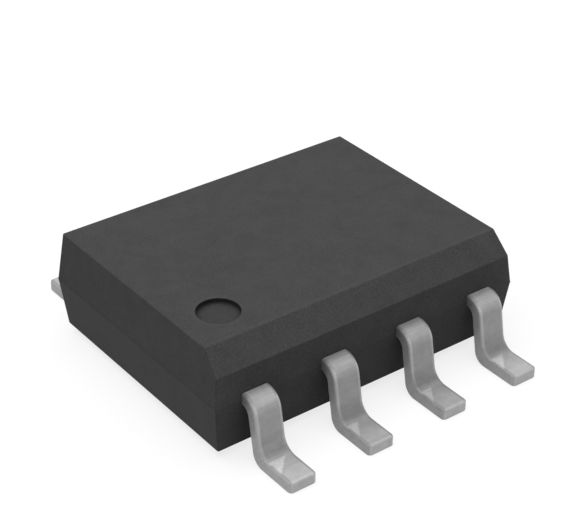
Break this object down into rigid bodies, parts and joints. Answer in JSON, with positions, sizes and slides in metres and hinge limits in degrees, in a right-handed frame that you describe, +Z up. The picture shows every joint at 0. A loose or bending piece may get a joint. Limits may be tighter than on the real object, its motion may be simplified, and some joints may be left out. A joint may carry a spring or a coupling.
{
  "type": "converter chip",
  "caption": "Power converter chip in a rectangular moulded body with gull-wing leads along both long sides, a chamfered long edge, a pin-one dimple and an exposed thermal pad underneath.",
  "frame": {"origin": "under the middle of the body, on the plane that the feet stand on", "axes": "+X along the rows of leads, from lead 1 towards lead 4; +Y from the row of leads 1 to 4 towards the other row; +Z up, away from the board"},
  "size_m": [0.005, 0.0058, 0.0016],
  "materials": {
    "mould_compound": "matte, finely speckled",
    "plated_lead": "satin tin plating on copper alloy",
    "plated_pad": "dull tin plating on copper alloy",
    "silicon": "polished silicon",
    "die_glue": "silver-filled epoxy",
    "bond_wire": "bare copper"
  },
  "bodies": {
    "root": {"mould_body": "mould_compound", "lead_1": "plated_lead", "lead_2": "plated_lead", "lead_3": "plated_lead", "lead_4": "plated_lead", "lead_5": "plated_lead", "lead_6": "plated_lead", "lead_7": "plated_lead", "lead_8": "plated_lead", "thermal_pad": "plated_pad", "die_attach": "die_glue", "die": "silicon", "bond_wire_1": "bond_wire", "bond_wire_2": "bond_wire", "bond_wire_3": "bond_wire", "bond_wire_4": "bond_wire", "bond_wire_5": "bond_wire", "bond_wire_6": "bond_wire", "bond_wire_7": "bond_wire", "bond_wire_8": "bond_wire"}
  },
  "joints": []
}
